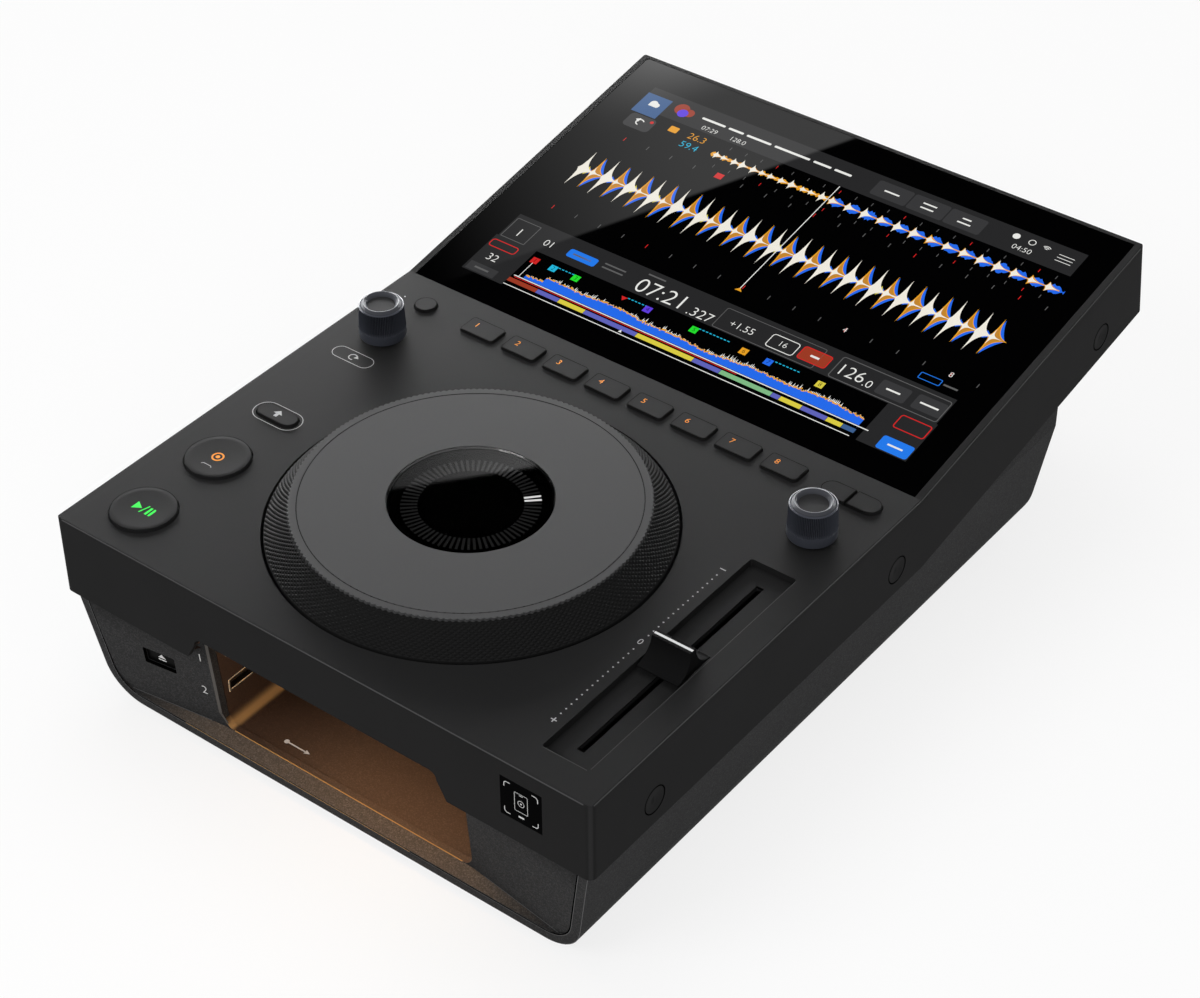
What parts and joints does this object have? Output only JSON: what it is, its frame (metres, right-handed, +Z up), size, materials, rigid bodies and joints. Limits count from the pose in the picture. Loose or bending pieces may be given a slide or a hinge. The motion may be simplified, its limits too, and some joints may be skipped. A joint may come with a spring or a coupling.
{
  "type": "tabletop media player for djs",
  "caption": "Tabletop DJ media player with a jog wheel, tempo slider, cue pads and knobs on a level deck, a large sloping touch screen and a lit USB bay in the front.",
  "frame": {"origin": "on the table, under the middle of the player", "axes": "front faces -Y, rear faces +Y, +Z up, +X to the user's right"},
  "size_m": [0.26, 0.3838, 0.12],
  "materials": {
    "case_plastic": "satin, very fine grain",
    "base_plastic": "matte, sparkle grain",
    "bay_plastic": "matte, lit amber",
    "lamp_diffuser": "milky",
    "port_metal": "bright",
    "circuit_board": "solder mask",
    "button_plastic": "matte",
    "black_gloss": "polished",
    "screen_glass": "polished black glass",
    "panel_module": "matte",
    "inner_plastic": "matte",
    "bearing_plastic": "smooth",
    "wheel_plastic": "fine grain",
    "wheel_plate": "dark anodised, satin",
    "knob_rubber": "soft touch",
    "shaft_steel": "turned",
    "slider_cap": "satin black",
    "sheet_steel": "plated",
    "supply_parts": "varnished",
    "rear_plate_paint": "fine texture paint",
    "black_plastic": "matte",
    "jack_metal": "nickel plated",
    "screw_steel": "zinc plated",
    "foot_rubber": "matte"
  },
  "bodies": {
    "player": {"top_cover": "case_plastic", "bottom_chassis": "base_plastic", "screen_rear_cover": "case_plastic", "front_panel": "base_plastic", "usb_bay": "bay_plastic", "bay_light_bar": "lamp_diffuser", "usb_port_upper": "port_metal", "usb_port_lower": "port_metal", "usb_board": "circuit_board", "front_badge": "black_gloss", "side_plugs": "button_plastic", "screen_glass": "screen_glass", "lcd_panel": "panel_module", "screen_board": "circuit_board", "jog_tray": "inner_plastic", "jog_post": "inner_plastic", "jog_bearing": "bearing_plastic", "jog_display": "panel_module", "jog_lens": "screen_glass", "encoders": "sheet_steel", "tempo_unit": "sheet_steel", "left_board": "circuit_board", "pad_board": "circuit_board", "main_board": "circuit_board", "power_supply": "supply_parts", "rear_plate": "rear_plate_paint", "jack_plate": "rear_plate_paint", "mains_inlet": "black_plastic", "network_jack": "port_metal", "audio_jacks": "jack_metal", "base_screws": "screw_steel", "feet": "foot_rubber"},
    "jog": {"jog_hub": "wheel_plastic", "jog_ring": "wheel_plastic", "jog_top_plate": "wheel_plate"},
    "play_key": {"play_button": "button_plastic"},
    "cue_key": {"cue_button": "button_plastic"},
    "shift_key": {"shift_button": "button_plastic"},
    "erase_key": {"erase_button": "button_plastic"},
    "back_key": {"back_button": "button_plastic"},
    "tag_key": {"tag_button": "button_plastic"},
    "pad_key_1": {"pad_1": "button_plastic"},
    "pad_key_2": {"pad_2": "button_plastic"},
    "pad_key_3": {"pad_3": "button_plastic"},
    "pad_key_4": {"pad_4": "button_plastic"},
    "pad_key_5": {"pad_5": "button_plastic"},
    "pad_key_6": {"pad_6": "button_plastic"},
    "pad_key_7": {"pad_7": "button_plastic"},
    "pad_key_8": {"pad_8": "button_plastic"},
    "eject_key": {"eject_button": "button_plastic"},
    "power_key": {"power_button": "button_plastic"},
    "loop_push": {"loop_plunger": "bearing_plastic"},
    "loop_turn": {"loop_knob": "knob_rubber", "loop_shaft": "shaft_steel"},
    "browse_push": {"browse_plunger": "bearing_plastic"},
    "browse_turn": {"browse_knob": "knob_rubber", "browse_shaft": "shaft_steel"},
    "tempo": {"tempo_cap": "slider_cap", "tempo_carriage": "bearing_plastic"}
  },
  "joints": [
    {"name": "jog_spin", "type": "hinge", "parent": "player", "child": "jog", "pos_m": [0, -0.09804, 0.0916], "axis": [0, 0, 1], "continuous": true},
    {"name": "play_press", "type": "slide", "parent": "player", "child": "play_key", "axis": [0, 0, -1], "range_m": [0, 0.0008], "stiffness_N_per_m": 1200, "springref_m": -0.0008},
    {"name": "cue_press", "type": "slide", "parent": "player", "child": "cue_key", "axis": [0, 0, -1], "range_m": [0, 0.0008], "stiffness_N_per_m": 1200, "springref_m": -0.0008},
    {"name": "shift_press", "type": "slide", "parent": "player", "child": "shift_key", "axis": [0, 0, -1], "range_m": [0, 0.0008], "stiffness_N_per_m": 1000, "springref_m": -0.0008},
    {"name": "erase_press", "type": "slide", "parent": "player", "child": "erase_key", "axis": [0, 0, -1], "range_m": [0, 0.0008], "stiffness_N_per_m": 1000, "springref_m": -0.0008},
    {"name": "back_press", "type": "slide", "parent": "player", "child": "back_key", "axis": [0, 0, -1], "range_m": [0, 0.0008], "stiffness_N_per_m": 1000, "springref_m": -0.0008},
    {"name": "tag_press", "type": "slide", "parent": "player", "child": "tag_key", "axis": [0, 0, -1], "range_m": [0, 0.0008], "stiffness_N_per_m": 1000, "springref_m": -0.0008},
    {"name": "pad_press_1", "type": "slide", "parent": "player", "child": "pad_key_1", "axis": [0, 0, -1], "range_m": [0, 0.0008], "stiffness_N_per_m": 1000, "springref_m": -0.0008},
    {"name": "pad_press_2", "type": "slide", "parent": "player", "child": "pad_key_2", "axis": [0, 0, -1], "range_m": [0, 0.0008], "stiffness_N_per_m": 1000, "springref_m": -0.0008},
    {"name": "pad_press_3", "type": "slide", "parent": "player", "child": "pad_key_3", "axis": [0, 0, -1], "range_m": [0, 0.0008], "stiffness_N_per_m": 1000, "springref_m": -0.0008},
    {"name": "pad_press_4", "type": "slide", "parent": "player", "child": "pad_key_4", "axis": [0, 0, -1], "range_m": [0, 0.0008], "stiffness_N_per_m": 1000, "springref_m": -0.0008},
    {"name": "pad_press_5", "type": "slide", "parent": "player", "child": "pad_key_5", "axis": [0, 0, -1], "range_m": [0, 0.0008], "stiffness_N_per_m": 1000, "springref_m": -0.0008},
    {"name": "pad_press_6", "type": "slide", "parent": "player", "child": "pad_key_6", "axis": [0, 0, -1], "range_m": [0, 0.0008], "stiffness_N_per_m": 1000, "springref_m": -0.0008},
    {"name": "pad_press_7", "type": "slide", "parent": "player", "child": "pad_key_7", "axis": [0, 0, -1], "range_m": [0, 0.0008], "stiffness_N_per_m": 1000, "springref_m": -0.0008},
    {"name": "pad_press_8", "type": "slide", "parent": "player", "child": "pad_key_8", "axis": [0, 0, -1], "range_m": [0, 0.0008], "stiffness_N_per_m": 1000, "springref_m": -0.0008},
    {"name": "eject_press", "type": "slide", "parent": "player", "child": "eject_key", "axis": [-0.1287, 0.9881, 0.0847], "range_m": [0, 0.0009], "stiffness_N_per_m": 1000, "springref_m": -0.0008},
    {"name": "power_press", "type": "slide", "parent": "player", "child": "power_key", "axis": [0, -1, 0], "range_m": [0, 0.0015], "stiffness_N_per_m": 1000, "springref_m": -0.0012},
    {"name": "loop_click", "type": "slide", "parent": "player", "child": "loop_push", "axis": [0, 0, -1], "range_m": [0, 0.0005], "stiffness_N_per_m": 3000, "springref_m": -0.0006},
    {"name": "loop_rotate", "type": "hinge", "parent": "loop_push", "child": "loop_turn", "pos_m": [-0.1077, -0.02554, 0.0916], "axis": [0, 0, 1], "continuous": true},
    {"name": "browse_click", "type": "slide", "parent": "player", "child": "browse_push", "axis": [0, 0, -1], "range_m": [0, 0.0005], "stiffness_N_per_m": 3000, "springref_m": -0.0006},
    {"name": "browse_rotate", "type": "hinge", "parent": "browse_push", "child": "browse_turn", "pos_m": [0.1077, -0.02554, 0.0916], "axis": [0, 0, 1], "continuous": true},
    {"name": "tempo_slide", "type": "slide", "parent": "player", "child": "tempo", "axis": [0, 1, 0], "range_m": [-0.05, 0.05]}
  ]
}
